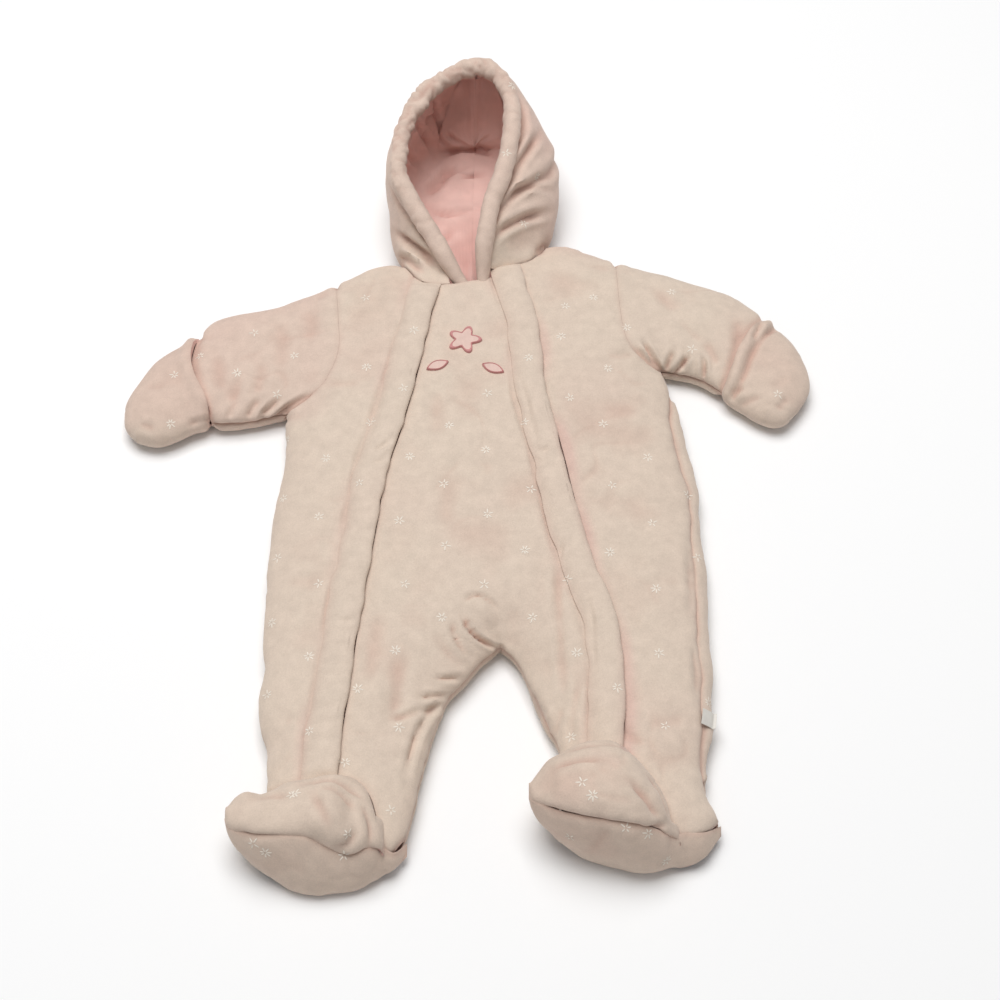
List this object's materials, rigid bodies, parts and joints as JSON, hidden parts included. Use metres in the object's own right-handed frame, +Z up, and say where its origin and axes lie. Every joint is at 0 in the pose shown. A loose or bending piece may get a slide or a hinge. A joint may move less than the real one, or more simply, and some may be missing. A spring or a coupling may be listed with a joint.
{
  "type": "baby snowsuit",
  "caption": "Padded velour baby snowsuit laid on its back, with lined hood, fold-over mitts, closed feet and long zips beside the middle front.",
  "frame": {"origin": "centre of the bounding box's bottom face; the suit lies on its back with its underside at z = 0", "axes": "+Z up from the surface it lies on, +Y from the feet to the hood, -X towards the wearer's right sleeve"},
  "size_m": [0.5371, 0.768, 0.109],
  "materials": {
    "velour": "short soft nap",
    "jersey": "matt knit",
    "zip_tape": "woven tape with moulded teeth",
    "satin": "smooth woven ribbon",
    "applique": "satin stitch"
  },
  "bodies": {
    "root": {"back": "velour", "foot_top_left": "velour", "foot_top_right": "velour", "front_centre": "velour", "front_side_left": "velour", "front_side_right": "velour", "hood_left": "velour", "hood_lining_left": "jersey", "hood_lining_right": "jersey", "hood_right": "velour", "hood_rim": "velour", "mitt_left": "velour", "mitt_right": "velour", "motif_flower": "applique", "motif_leaf_left": "applique", "motif_leaf_right": "applique", "placket_left": "velour", "placket_right": "velour", "side_label": "satin", "sleeve_left": "velour", "sleeve_right": "velour", "sole_left": "velour", "sole_right": "velour", "zip_left": "zip_tape", "zip_right": "zip_tape"}
  },
  "joints": []
}
